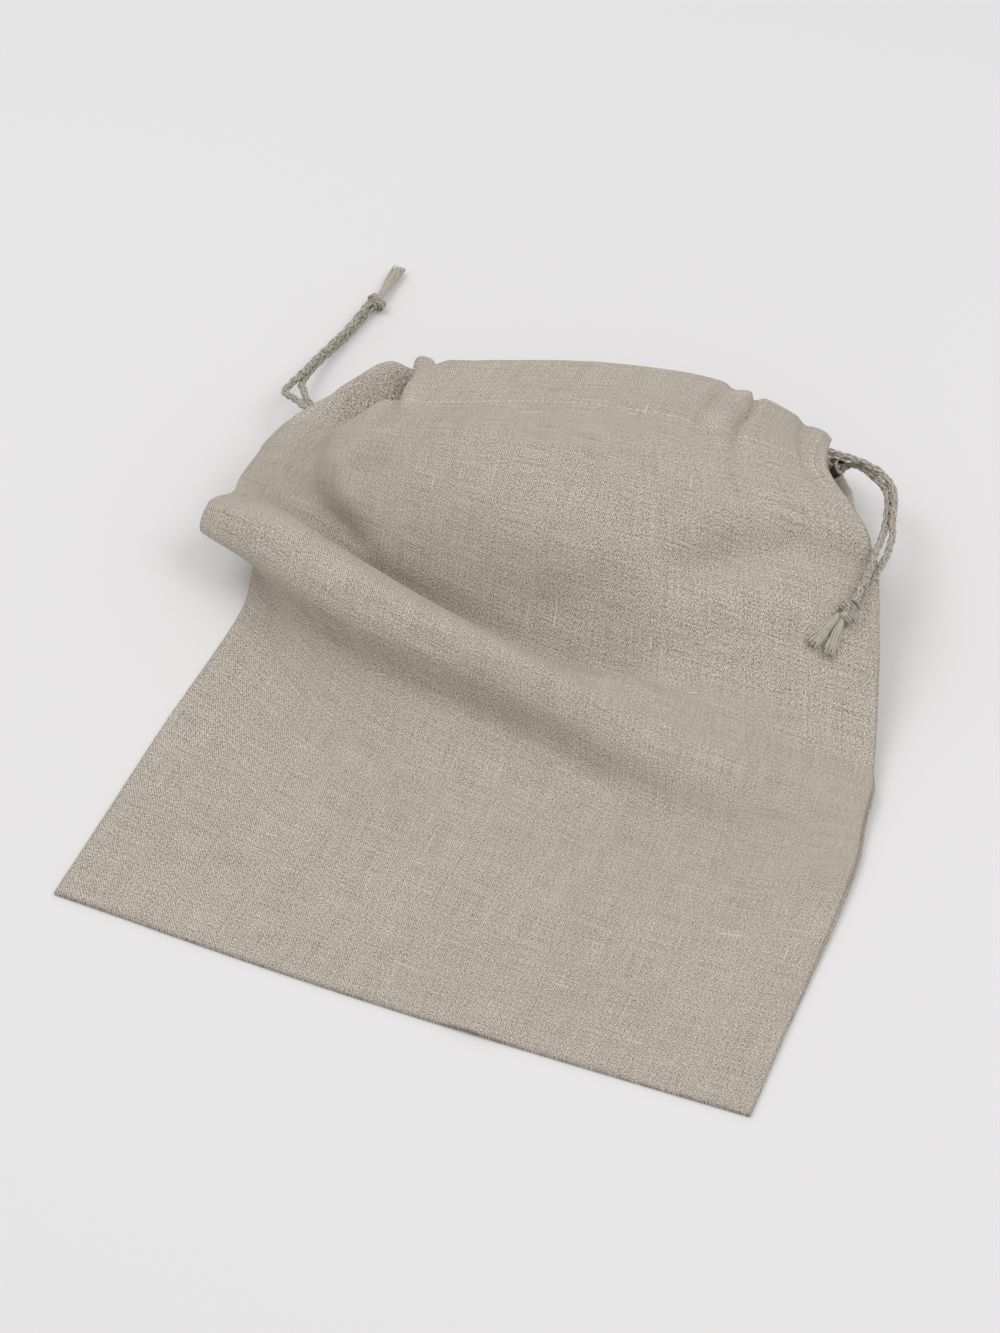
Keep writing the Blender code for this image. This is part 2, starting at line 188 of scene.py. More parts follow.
weave = {
    "sockets": {
        "Place": "Vector", "Warp Pitch": 0.00049, "Weft Pitch": 0.000573, "Slub Length": 0.03,
        "Patch Size": 0.07,
    },
    "wander": 0.013, "wanderThreads": 1.8, "threadSpread": 0.77, "repeat": 3.0, "roundness": 3.2,
    "overTone": -0.42, "underTone": 1.14, "bulgeMiddle": 0.73, "floatEdgeShade": 0.55, "bulgeHeight": 0.6,
    "layers": {  # size across and along in metres, or the socket that holds it; its own pattern; detail
        "salt": (0.00085, 0.0008, 5, 0), "pepper": (0.0006, 0.00055, 9, 0),
        "longWeft": ("Slub Length", 0.0009, 13, 2), "longWarp": (0.0009, "Slub Length", 19, 2),
        "patch": ("Patch Size", "Patch Size", 23, 1), "band": (0.010, 0.30, 29, 2),
        "nep": (0.0028, 0.0011, 31, 0), "speck": (0.0014, 0.0012, 37, 0),
    },
    "toneShares": {
        "float": 0.22, "salt": 1.3, "pepper": 1.3, "warp": 0.40, "weft": 0.52, "longWeft": 0.38,
        "longWarp": 0.32, "patch": 0.05, "band": 0.10,
    },
    "heightShares": {"float": 0.12, "salt": 0.5, "pepper": 0.5, "longWeft": 0.4, "longWarp": 0.3},
    "lightWeft": (0.70, 0.80), "lightWarp": (0.73, 0.84), "lightNep": (0.82, 0.90), "darkWeft": (0.30, 0.20),
    "darkSpeck": (0.13, 0.07), "warmPatch": (0.32, 0.68), "threadFleck": 0.5,
}


def makeClothGrain(plan):
    results = dict.fromkeys(("Tone", "Warmth", "Light Fleck", "Dark Fleck", "Height"), "Float")
    tree, given, result = newGroup("clothGrain", "ShaderNodeTree", plan["sockets"], results)
    across, along, _ = apart(given["Place"])
    found = {}  # by name, a noise from 0 to 1
    threads = []  # of the warp, then of the weft: the thread's number and the place across it
    for name, place, other, layer in (("warp", across, along, 1), ("weft", along, across, 2)):
        wander = grainNoise(across, along, plan["wander"], plan["wander"], layer, 1)
        wander = times(wander, plan["wanderThreads"])
        count = calc("ADD", calc("DIVIDE", place, given[name.title() + " Pitch"]), wander)
        number = calc("FLOOR", count)
        threads.append((number, calc("SUBTRACT", calc("FRACT", count), 0.5)))
        lengthwise = calc("DIVIDE", other, given["Slub Length"])
        found[name] = noise(joined(times(number, plan["threadSpread"]), lengthwise, layer), 1, 2)
    (warpNumber, warpMiddle), (weftNumber, weftMiddle) = threads
    crossing = calc("FLOORED_MODULO", calc("ADD", warpNumber, weftNumber), plan["repeat"])
    warpOver = calc("LESS_THAN", crossing, 0.5)
    middle = flow(tree, "ShaderNodeMix", {0: warpOver, 2: weftMiddle, 3: warpMiddle}, data_type="FLOAT")
    bulge = calc("SUBTRACT", 1.0, times(times(middle, middle), plan["roundness"]))
    place = joined(warpNumber, weftNumber)
    found["float"] = flow(tree, "ShaderNodeTexWhiteNoise", {"Vector": place}, noise_dimensions="2D")
    for name, (*sizes, layer, detail) in plan["layers"].items():
        sizes = [given[size] if isinstance(size, str) else size for size in sizes]
        found[name] = grainNoise(across, along, *sizes, layer, detail)

    def blended(start, shares):
        for name, share in shares.items():
            start = calc("MULTIPLY_ADD", calc("SUBTRACT", found[name], 0.5), share, start)
        return start

    def reached(name, edges):
        return ramp(found[name], *plan[edges])

    tone = calc("MULTIPLY_ADD", warpOver, plan["overTone"], plan["underTone"])
    # painted shade: each float is darker towards its edges, where it dips between its neighbours
    rounded = calc("SUBTRACT", bulge, plan["bulgeMiddle"])
    tone = calc("MULTIPLY_ADD", rounded, plan["floatEdgeShade"], tone)
    lightThread = calc("MAXIMUM", reached("longWeft", "lightWeft"), reached("longWarp", "lightWarp"))
    lightThread = times(lightThread, plan["threadFleck"])
    darkThread = times(reached("longWeft", "darkWeft"), plan["threadFleck"])
    height = times(bulge, plan["bulgeHeight"])
    for name, value in {
        "Tone": blended(tone, plan["toneShares"]), "Warmth": reached("patch", "warmPatch"),
        "Light Fleck": calc("MAXIMUM", lightThread, reached("nep", "lightNep")),
        "Dark Fleck": calc("MAXIMUM", darkThread, reached("speck", "darkSpeck")),
        "Height": blended(height, plan["heightShares"]),
    }.items():
        tree.links.new(value, result.inputs[name])
    return tree


# Materials. Roughness gives the relief's low and high, and the roughness there.

linenLook = {
    "grey": (0.452, 0.402, 0.344), "warm": (0.463, 0.405, 0.341), "light": (0.70, 0.64, 0.56),
    "dark": (0.155, 0.138, 0.120), "lightShare": 0.75, "darkShare": 0.7, "relief": 0.00022, "bump": 0.75,
    "roughness": (0.0, 1.0, 0.96, 0.82), "specular": 0.18, "sheen": 0.10, "sheenRoughness": 0.5,
}
paintedShadeLook = {  # painted shade: the back panel's linen a little darker all over, and a painted dark corner where the turned hems meet at the right slit; the corner in metres on the cloth, where it begins and where it is full
    "shade": 0.94, "corner": (0.022, 0.016, 0.012), "cornerShadeShare": 0.9, "across": (0.340, 0.346),
    "edge": (0.3585, 0.3565), "along": (0.449, 0.453),
}
cordLook = {
    "grey": (0.475, 0.43, 0.365), "light": (0.84, 0.79, 0.70), "dark": (0.10, 0.08, 0.06), "relief": 0.00022,
    "bump": 0.8, "roughness": (0.2, 0.8, 0.95, 0.8), "specular": 0.2,
    "fibres": (0.004, 0.00022, 3, 2), "lengths": (0.016, 0.0014, 5, 1), "flecks": (0.0019, 0.0007, 7, 1),
    "fibreEdges": (0.28, 0.72), "greyEdges": (0.25, 0.75, 0.35, 0.75), "darkEdges": (0.50, 0.30, 0, 0.85),
    "lightEdges": (0.58, 0.80, 0, 0.8),
}
threadLook = {
    "colour": (0.86, 0.82, 0.74), "dark": (0.62, 0.57, 0.49), "fineness": 1800,
    "roughness": (0.2, 0.8, 0.9, 0.75),
}
floorLook = {"size": 12.0, "colour": (0.775, 0.762, 0.757), "roughness": 0.9, "specular": 0.1}


def finishSurface(tree, shader, colour, relief, look):
    tree.links.new(colour, shader.inputs["Base Color"])
    tree.links.new(ramp(relief, *look["roughness"]), shader.inputs["Roughness"])
    if "bump" in look:
        values = {"Strength": look["bump"], "Distance": look["relief"], "Height": relief}
        tree.links.new(flow(tree, "ShaderNodeBump", values), shader.inputs["Normal"])
        shader.inputs["Specular IOR Level"].default_value = look["specular"]


def makeLinen(name, look, grain, inside=None):
    made, tree, shader = newMaterial(name)
    place = flow(tree, "ShaderNodeUVMap", uv_map="clothMap")
    cloth = newNode(tree, "ShaderNodeGroup", node_tree=grain)
    tree.links.new(place, cloth.inputs["Place"])
    woven = cloth.outputs
    # painted shade: the back panel's copy of the linen is made darker all over
    shade = inside["shade"] if inside else 1
    grey, warm = ([shade * value for value in look[key]] for key in ("grey", "warm"))
    tone = flow(tree, "ShaderNodeCombineColor", {i: woven["Tone"] for i in range(3)})
    colour = mixColour(1.0, mixColour(woven["Warmth"], grey, warm), tone, "MULTIPLY")
    colour = mixColour(times(woven["Light Fleck"], look["lightShare"]), colour, look["light"])
    colour = mixColour(times(woven["Dark Fleck"], look["darkShare"]), colour, look["dark"])
    if inside:  # painted shade: a dark corner painted where the turned hems meet at the right slit, where little light gets in
        across, along, _ = apart(place)
        side = times(ramp(across, *inside["across"]), ramp(across, *inside["edge"]))
        depth = times(side, ramp(along, *inside["along"]))
        colour = mixColour(times(depth, inside["cornerShadeShare"]), colour, inside["corner"])
    finishSurface(tree, shader, colour, woven["Height"], look)
    shader.inputs["Sheen Weight"].default_value = look["sheen"]
    shader.inputs["Sheen Roughness"].default_value = look["sheenRoughness"]
    return made


def makeYarn(name, look):
    # fibres run along the yarn: the map's first number goes along it, its second round it, in metres
    made, tree, shader = newMaterial(name)
    along, around, _ = apart(flow(tree, "ShaderNodeUVMap", uv_map="yarnMap"))
    layers = (look[key] for key in ("fibres", "lengths", "flecks"))
    fibres, lengths, flecks = (grainNoise(along, around, *layer) for layer in layers)
    colour = mixColour(ramp(fibres, *look["fibreEdges"]), look["dark"], look["light"])
    for value, key in ((lengths, "grey"), (flecks, "dark"), (flecks, "light")):
        colour = mixColour(ramp(value, *look[key + "Edges"]), colour, look[key])
    finishSurface(tree, shader, colour, fibres, look)
    return made


def makeThread(name, look):
    made, tree, shader = newMaterial(name)
    place = newNode(tree, "ShaderNodeTexCoord").outputs["Object"]
    fibres = noise(place, look["fineness"], 1)
    finishSurface(tree, shader, mixColour(fibres, look["dark"], look["colour"]), fibres, look)
    return made


grainGroup = makeClothGrain(weave)
linen = makeLinen("linen", linenLook, grainGroup)
# the back panel's linen: the same cloth with painted shade, darker all over and in a painted dark corner at
# the right slit
paintedShadeLinen = makeLinen("paintedShadeLinen", linenLook, grainGroup, paintedShadeLook)
yarn = makeYarn("linenYarn", cordLook)
sewingThread = makeThread("sewingThread", threadLook)
paleFloor, _, shader = newMaterial("paleFloor")
shader.inputs["Base Color"].default_value = (*floorLook["colour"], 1)
shader.inputs["Roughness"].default_value = floorLook["roughness"]
shader.inputs["Specular IOR Level"].default_value = floorLook["specular"]
floorMesh = bpy.data.meshes.new("floor")
half = floorLook["size"] / 2
corners = [(-half, -half, 0), (half, -half, 0), (half, half, 0), (-half, half, 0)]
floorMesh.from_pydata(corners, [], [(0, 1, 2, 3)])
floorMesh.materials.append(paleFloor)
linked("studioFloor", floorMesh)
print("floor and materials are in place")


# Curves

def smoothCurve(points, knots, at):
    points, knots, at = (np.asarray(value, float) for value in (points, knots, at))
    spans = np.diff(knots)
    rates = np.diff(points, axis=0) / spans[:, None]
    slopes = np.empty_like(points)
    slopes[1:-1] = rates[:-1] * spans[1:, None] + rates[1:] * spans[:-1, None]
    slopes[1:-1] /= (spans[1:] + spans[:-1])[:, None]
    slopes[0] = 1.5 * rates[0] - 0.5 * slopes[1]
    slopes[-1] = 1.5 * rates[-1] - 0.5 * slopes[-2]
    cell = np.clip(np.searchsorted(knots, at, side="right") - 1, 0, len(spans) - 1)
    span = spans[cell][:, None]
    t = ((at - knots[cell]) / spans[cell])[:, None]
    return (
        (2 * t**3 - 3 * t**2 + 1) * points[cell] + (t**3 - 2 * t**2 + t) * span * slopes[cell]
        + (3 * t**2 - 2 * t**3) * points[cell + 1] + (t**3 - t**2) * span * slopes[cell + 1]
    )


def unit(vectors):
    return vectors / np.linalg.norm(vectors, axis=-1, keepdims=True)


def alongOf(points):
    return np.concatenate([[0], np.cumsum(np.linalg.norm(np.diff(points, axis=0), axis=1))])


def evenPoints(route, step):
    route = np.asarray(route, float)
    along = alongOf(route)
    return smoothCurve(route, along, np.linspace(0, along[-1], max(2, round(along[-1] / step) + 1)))


def framesOf(points):
    # at each point its heading, and two directions square to it that turn no more than they must
    heading = unit(np.gradient(points, axis=0))
    side = np.empty_like(points)
    start = np.cross((0, 0, 1), heading[0])
    if np.linalg.norm(start) < 0.1:
        start = np.cross((1, 0, 0), heading[0])
    side[0] = unit(start)
    for i in range(1, len(points)):
        side[i] = unit(side[i - 1] - heading[i] * (side[i - 1] @ heading[i]))
    return heading, side, np.cross(heading, side)


def addPiece(name, shape, material, mapName):
    # a shape is its points, its faces, and each point's place on the piece's own map, in metres
    points, faces, places = shape
    mesh = bpy.data.meshes.new(name)
    mesh.from_pydata([tuple(point) for point in points], [], [tuple(face) for face in faces])
    corners = np.empty(len(mesh.loops), int)
    mesh.loops.foreach_get("vertex_index", corners)
    layer = mesh.uv_layers.new(name=mapName)
    layer.data.foreach_set("uv", np.asarray(places, float)[corners].ravel())
    mesh.polygons.foreach_set("use_smooth", [True] * len(mesh.polygons))
    mesh.materials.append(material)
    return linked(name, mesh)


# The drawstrings: eight yarns plaited round a core, four each way, over and under. They sway and swell
# a little along their way, and plain numbers keep those waves out of step.

cord = {
    "diameter": 4.8 * mm, "step": 0.9 * mm, "yarns": 4, "yarnRadius": 0.74 * mm, "yarnSides": 6,
    "squash": 0.72, "turnLength": 38 * mm, "weaving": 0.42 * mm, "coreSides": 8, "coreShare": 0.98,
    "mapStep": 0.37, "unevenness": 0.16 * mm, "driftLengths": (6.1 * mm, 2.7 * mm), "sway": 0.16,
    "swayLength": 4.9 * mm, "fullness": 1.08, "swell": 0.16, "swellLength": 3.4 * mm,
}
strandRoutes = {
    "leftCordFront": [
        (2.3, 340.1, 46.4), (-5.8, 336.5, 41.4), (-10.0, 335.9, 39.4), (-14.0, 337.5, 37.4),
        (-17.8, 341.0, 35.2), (-22.2, 345.2, 32.8), (-28.2, 350.2, 29.8), (-34.3, 355.2, 26.2),
        (-38.8, 360.4, 22.6), (-41.1, 366.4, 19.4), (-41.6, 373.1, 16.8), (-41.4, 381.2, 14.8),
        (-41.2, 389.8, 13.0), (-41.0, 398.0, 11.3), (-40.6, 408.2, 9.6), (-39.6, 417.6, 8.2),
        (-38.4, 427.0, 7.2), (-37.1, 435.5, 6.7), (-36.0, 444.2, 6.6), (-35.1, 452.5, 6.8),
        (-34.4, 460.0, 7.2), (-33.4, 467.6, 7.4),
    ],
    "leftCordBack": [
        (-9.1, 346.6, 20.9), (-12.6, 348.2, 23.6), (-16.6, 350.4, 25.8), (-20.6, 353.0, 26.8),
        (-24.0, 356.4, 26.4), (-26.6, 360.6, 24.9), (-28.8, 365.0, 22.6), (-31.4, 369.6, 19.6),
        (-34.6, 374.4, 16.0), (-37.6, 379.6, 12.8), (-39.3, 385.6, 10.6), (-40.1, 392.8, 9.0),
        (-40.3, 400.6, 7.5), (-39.9, 410.2, 5.8), (-39.0, 419.4, 4.5), (-37.8, 428.4, 3.5),
        (-36.6, 436.7, 3.0), (-35.4, 445.7, 2.8), (-34.2, 454.6, 2.9),
        (-31.9, 466.6, 3.6),
    ],
    "rightCordFront": [
        (255.3, 407.3, 44.3), (260.4, 409.4, 40.4), (265.6, 411.5, 36.4), (270.2, 413.6, 34.2),
        (275.6, 414.2, 33.4), (281.6, 413.6, 33.2), (287.6, 412.3, 33.0), (294.0, 410.0, 32.6),
        (300.1, 406.0, 32.2), (305.0, 399.8, 32.0), (308.2, 391.4, 32.2), (310.4, 382.1, 32.8),
        (312.3, 373.4, 33.6), (315.2, 363.7, 34.8), (317.2, 353.0, 36.6), (318.1, 343.1, 38.5),
        (318.2, 332.8, 40.3), (317.9, 324.2, 41.2), (317.3, 315.4, 41.6), (316.7, 307.0, 41.7),
        (315.6, 297.0, 41.8),
    ],
    "rightCordBack": [
        (264.2, 419.7, 18.6), (270.3, 416.0, 22.9), (273.7, 415.2, 25.0), (277.0, 415.6, 27.2),
        (281.4, 414.6, 28.6), (286.4, 412.2, 28.8), (291.7, 409.1, 28.5), (296.9, 405.4, 28.5),
        (301.4, 400.0, 28.9), (304.6, 392.4, 29.5), (306.9, 383.4, 30.2), (308.8, 373.4, 31.6),
        (310.7, 361.5, 34.4), (312.0, 349.1, 38.8), (313.2, 337.4, 43.4), (314.4, 326.4, 45.8),
        (315.0, 316.0, 46.6), (315.1, 306.6, 46.8), (314.4, 295.6, 45.8),
    ],
}


def tube(centres, heading, side, radius, sides, alongStart=0.0, squash=1.0):
    # a closed tube round a path, with its map: metres along it and metres round it
    above = np.cross(heading, side)
    angles = np.linspace(0, math.tau, sides, endpoint=False)
    radius = np.broadcast_to(np.asarray(radius, float), (len(centres),))
    ring = np.cos(angles)[:, None] * side[:, None] + squash * np.sin(angles)[:, None] * above[:, None]
    points = (centres[:, None] + ring * radius[:, None, None]).reshape(-1, 3)
    index = np.arange(len(points)).reshape(-1, sides)
    after = np.roll(index, -1, axis=1)
    faces = np.stack([index[:-1], after[:-1], after[1:], index[1:]], axis=2).reshape(-1, 4).tolist()
    faces += [index[0][::-1].tolist(), index[-1].tolist()]
    along = alongStart + np.repeat(alongOf(centres), sides)
    around = np.tile(angles, len(centres)) * float(radius.mean())
    return points, faces, np.stack([along, around], axis=1)


def gather(shapes):
    points, faces, places, start = [], [], [], 0
    for shapePoints, shapeFaces, shapePlaces in shapes:
        points.append(shapePoints)
        faces += [tuple(start + corner for corner in face) for face in shapeFaces]
        places.append(shapePlaces)
        start += len(shapePoints)
    return np.concatenate(points), faces, np.concatenate(places)


def plait(path, plan):
    path = evenPoints(path, plan["step"])
    heading, side, above = framesOf(path)
    along = alongOf(path)
    middle = plan["diameter"] / 2 - plan["yarnRadius"] - plan["weaving"]
    shapes = [tube(path, heading, side, middle * plan["coreShare"], plan["coreSides"])]
    yarns = plan["yarns"]
    long, short = plan["driftLengths"]
    for way in (1, -1):
        for number in range(yarns):
            turn = way * (math.tau * along / plan["turnLength"]) + math.tau * number / yarns
            over = way * np.cos(yarns * turn) * plan["weaving"]
            drift = np.sin(along / long + 2.4 * number + way) + np.sin(along / short + 5.1 * number)
            reach = (middle + over + drift * plan["unevenness"] / 2)[:, None]
            turn = turn + plan["sway"] * np.sin(along / plan["swayLength"] + 1.7 * number + 3 * way)
            centres = path + reach * (np.cos(turn)[:, None] * side + np.sin(turn)[:, None] * above)
            go = unit(np.gradient(centres, axis=0))
            outwards = centres - path
            outwards = unit(outwards - go * (outwards * go).sum(axis=1, keepdims=True))
            swell = plan["swell"] * np.sin(along / plan["swellLength"] + 4.3 * number + way)
            radius = plan["yarnRadius"] * (plan["fullness"] + swell)
            shapes.append(tube(centres, go, np.cross(outwards, go), radius, plan["yarnSides"],
                               number * plan["mapStep"], plan["squash"]))
    return gather(shapes), path


def placed(route):
    return np.array(route, float) * mm + bagCorner


cords, cordPaths = {}, {}
for name, route in strandRoutes.items():
    shape, cordPaths[name] = plait(placed(route), cord)
    cords[name] = addPiece(name, shape, yarn, "yarnMap")
print("drawstrings plaited")

# The knots: both cords of a pair wound round themselves, drawn tight

winding = {
    "band": {"diameter": 4.2 * mm, "yarnRadius": 0.52 * mm}, "turns": 2.3, "lean": 0.3, "points": 90,
    "slide": 0.78, "tucks": 9, "tucked": 0.25, "rounding": 0.62, "flattest": 0.1, "coreReach": 0.44,
    "corePoints": 7, "coreRadius": 0.27, "coreSides": 12,
}
knots = {
    "leftKnot": {
        "centre": (-31.0, 471.6, 5.2), "size": (13.4, 10.4, 9.4), "heading": (0.02, 1, 0), "up": (0, 0, 1),
    },
    "rightKnot": {
        "centre": (312.7, 290.2, 42.8), "size": (12.6, 11.0, 9.0), "heading": (-0.35, -1, -0.1),
        "up": (0.36, -0.06, 0.93),
    },
}


def wound(knot, plan):
    along = unit(np.array(knot["heading"], float))
    across = unit(np.cross(knot["up"], along))
    above = np.cross(along, across)
    width, length, height = (size * mm for size in knot["size"])
    band = plan["band"]["diameter"]
    t = np.linspace(0, 1, plan["points"])
    turn = math.tau * plan["turns"] * t
    slide = (t - 0.5) * (length - band) * plan["slide"]
    tuck = np.minimum(1, np.minimum(t, 1 - t) * plan["tucks"])  # both ends go down into the knot
    rounding = np.sqrt(np.clip(1 - (slide / (length * plan["rounding"])) ** 2, plan["flattest"], 1))
    rounding = rounding * (plan["tucked"] + (1 - plan["tucked"]) * tuck)
    lean = plan["lean"] * band * np.cos(turn)
    centre = placed(knot["centre"])
    path = (
        centre + np.outer(np.cos(turn) * rounding * (width - band) / 2, across)
        + np.outer(np.sin(turn) * rounding * (height - band) / 2, above) + np.outer(slide + lean, along)
    )
    reach = plan["coreReach"]
    core = centre + np.outer(np.linspace(-reach, reach, plan["corePoints"]) * length, along)
    heading, side, _ = framesOf(core)
    return path, tube(core, heading, side, min(width, height) * plan["coreRadius"], plan["coreSides"])


knotPieces = {}
for name, knot in knots.items():
    path, core = wound(knot, winding)
    band, _ = plait(path, {**cord, **winding["band"]})
    knotPieces[name] = addPiece(name, gather([band, core]), yarn, "yarnMap")
print("knots wound")

# Past each knot the cords are unlaid into loose yarns. Geometry nodes make each yarn wavy and round.

tuftYarn = {
    "Yarn Radius": 0.5 * mm, "Wave": 0.6 * mm, "Wave Length": 3.6 * mm, "Step": 0.8 * mm, "Sides": 6,
}
unlaid = {"step": 2.0 * mm, "fullness": 0.86, "twist": 0.5, "shorter": 0.35}
tufts = {  # route and size of each bunch, in millimetres from the bag's corner
    "leftTails": [{
        "route": [(-31.2, 474.4, 5.3), (-31.5, 487.8, 4.9), (-32.0, 497.2, 4.4), (-31.7, 507.4, 3.9)],
        "widths": (3.8, 5.4, 7.6, 9.6), "heights": (3.4, 4.0, 3.6, 3.0), "up": (0, 0, 1), "yarns": 40,
        "seed": 3,
    }],
    "rightTails": [{
        "route": [(309.2, 287.6, 41.9), (305.4, 279.0, 39.9), (302.9, 272.7, 38.3), (300.4, 267.4, 36.9)],
        "widths": (3.2, 5.0, 6.8, 8.6), "heights": (3.2, 3.8, 3.4, 3.0), "up": (0.32, -0.3, 0.88),
        "yarns": 34, "seed": 11,
    }, {
        "route": [(311.4, 287.0, 41.2), (311.1, 279.0, 38.0), (311.0, 273.0, 35.6), (310.8, 267.0, 33.2)],
        "widths": (3.2, 4.6, 6.2, 7.8), "heights": (3.2, 3.8, 3.4, 3.0), "up": (0.32, -0.3, 0.88),
        "yarns": 30, "seed": 17,
    }],
}


def guideCurves(tree, given, spacing):
    lines = flow(tree, "GeometryNodeMeshToCurve", {"Mesh": given["Geometry"]})
    return flow(tree, "GeometryNodeResampleCurve", {"Curve": lines, "Length": spacing}, mode="LENGTH")


def swept(tree, lines, radius, sides, scale=1.0):
    ring = flow(tree, "GeometryNodeCurvePrimitiveCircle", {"Resolution": sides, "Radius": radius})
    values = {"Curve": lines, "Profile Curve": ring, "Scale": scale, "Fill Caps": True}
    return flow(tree, "GeometryNodeCurveToMesh", values)


def finishTree(tree, shape, given, result):
    shape = flow(tree, "GeometryNodeRealizeInstances", {0: shape})
    shape = flow(tree, "GeometryNodeSetMaterial", {"Geometry": shape, "Material": given["Finish"]})
    tree.links.new(shape, result.inputs[0])
    return tree


def makeYarnTree():
    sockets = {
        "Geometry": "Geometry", **tuftYarn, "Own Pattern": 3.7, "Reach": 4.0, "Thin From": 0.85, "Tip": 0.75,
        "Finish": "Material",
    }
    tree, given, result = newGroup("looseYarns", "GeometryNodeTree", sockets, {"Geometry": "Geometry"})
    lines = guideCurves(tree, given, given["Step"])
    share = newNode(tree, "GeometryNodeSplineParameter").outputs
    which = flow(tree, "GeometryNodeFieldOnDomain", {0: flow(tree, "GeometryNodeInputIndex")},
                 data_type="INT", domain="CURVE")
    place = flow(tree, "GeometryNodeInputPosition")
    bend = newNode(tree, "ShaderNodeTexNoise", {
        "Vector": place, "W": times(which, given["Own Pattern"]),
        "Scale": calc("DIVIDE", 1.0, given["Wave Length"]), "Detail": 1.0,
    }, noise_dimensions="4D").outputs["Color"]
    centred = flow(tree, "ShaderNodeVectorMath", {0: bend, 1: (0.5, 0.5, 0.5)}, operation="SUBTRACT")
    reach = times(times(given["Wave"], given["Reach"]), share["Factor"])
    shift = flow(tree, "ShaderNodeVectorMath", {0: centred, "Scale": reach}, operation="SCALE")
    lines = flow(tree, "GeometryNodeSetPosition", {"Geometry": lines, "Offset": shift})
    thinning = ramp(share["Factor"], given["Thin From"], 1.0, 1.0, given["Tip"])
    tubes = swept(tree, lines, given["Yarn Radius"], given["Sides"], thinning)
    return finishTree(tree, tubes, given, result)


def grown(name, lines, tree, values):
    # runs a node tree on guide lines and keeps the plain mesh. A line is its points and, where the tree
    # asks for it, the way out of the cloth at each.
    guide = bpy.data.meshes.new(name + "Lines")
    counts = [len(points) for points, *_ in lines]
    starts = np.cumsum([0, *counts[:-1]]).tolist()
    edges = [(start + i, start + i + 1) for start, count in zip(starts, counts) for i in range(count - 1)]
    guide.from_pydata([tuple(point) for points, *_ in lines for point in points], edges, [])
    if len(lines[0]) > 1:
        outwards = guide.attributes.new("outwards", "FLOAT_VECTOR", "POINT")
        outwards.data.foreach_set("vector", np.concatenate([ways for _, ways in lines]).ravel())
    helper = linked(name + "Guide", guide)
    grower = helper.modifiers.new("grow", "NODES")
    grower.node_group = tree
    for socket in tree.interface.items_tree:
        if socket.in_out == "INPUT" and socket.name in values:
            grower[socket.identifier] = values[socket.name]
    bpy.context.view_layer.update()
    made = bpy.data.meshes.new_from_object(helper.evaluated_get(bpy.context.evaluated_depsgraph_get()))
    helper.modifiers.remove(grower)
    bpy.data.objects.remove(helper, do_unlink=True)
    made.name = name
    return linked(name, made)


def bunchLines(bunch, plan):
    rng = np.random.default_rng(bunch["seed"])
    route = evenPoints(placed(bunch["route"]), plan["step"])
    heading = unit(np.gradient(route, axis=0))
    across = unit(np.cross(bunch["up"], heading))
    above = np.cross(heading, across)
    share = np.linspace(0, 1, len(route))
    rests = np.linspace(0, 1, len(bunch["widths"]))
    width, height = (np.interp(share, rests, bunch[key]) * mm / 2 for key in ("widths", "heights"))
    lines = []
    for number in range(bunch["yarns"]):
        angle = rng.uniform(0, math.tau)
        out = math.sqrt((number + 0.5) / bunch["yarns"]) * plan["fullness"]
        twist = angle + share * rng.uniform(-plan["twist"], plan["twist"])
        aside, up = np.cos(twist) * out * width, np.sin(twist) * out * height
        line = route + across * aside[:, None] + above * up[:, None]
        lines.append((line[: len(line) - (rng.random() < plan["shorter"])],))
    return lines


yarnTree = makeYarnTree()
tailPieces = {}
for name, bunches in tufts.items():
    lines = [line for bunch in bunches for line in bunchLines(bunch, unlaid)]
    tailPieces[name] = grown(name, lines, yarnTree, {**tuftYarn, "Finish": yarn})
print("loose yarn ends grown")

# The panels. Sections cross the panel from the left seam to the right one; places are millimetres from
# the bag's corner, the middle of the cloth's thickness.

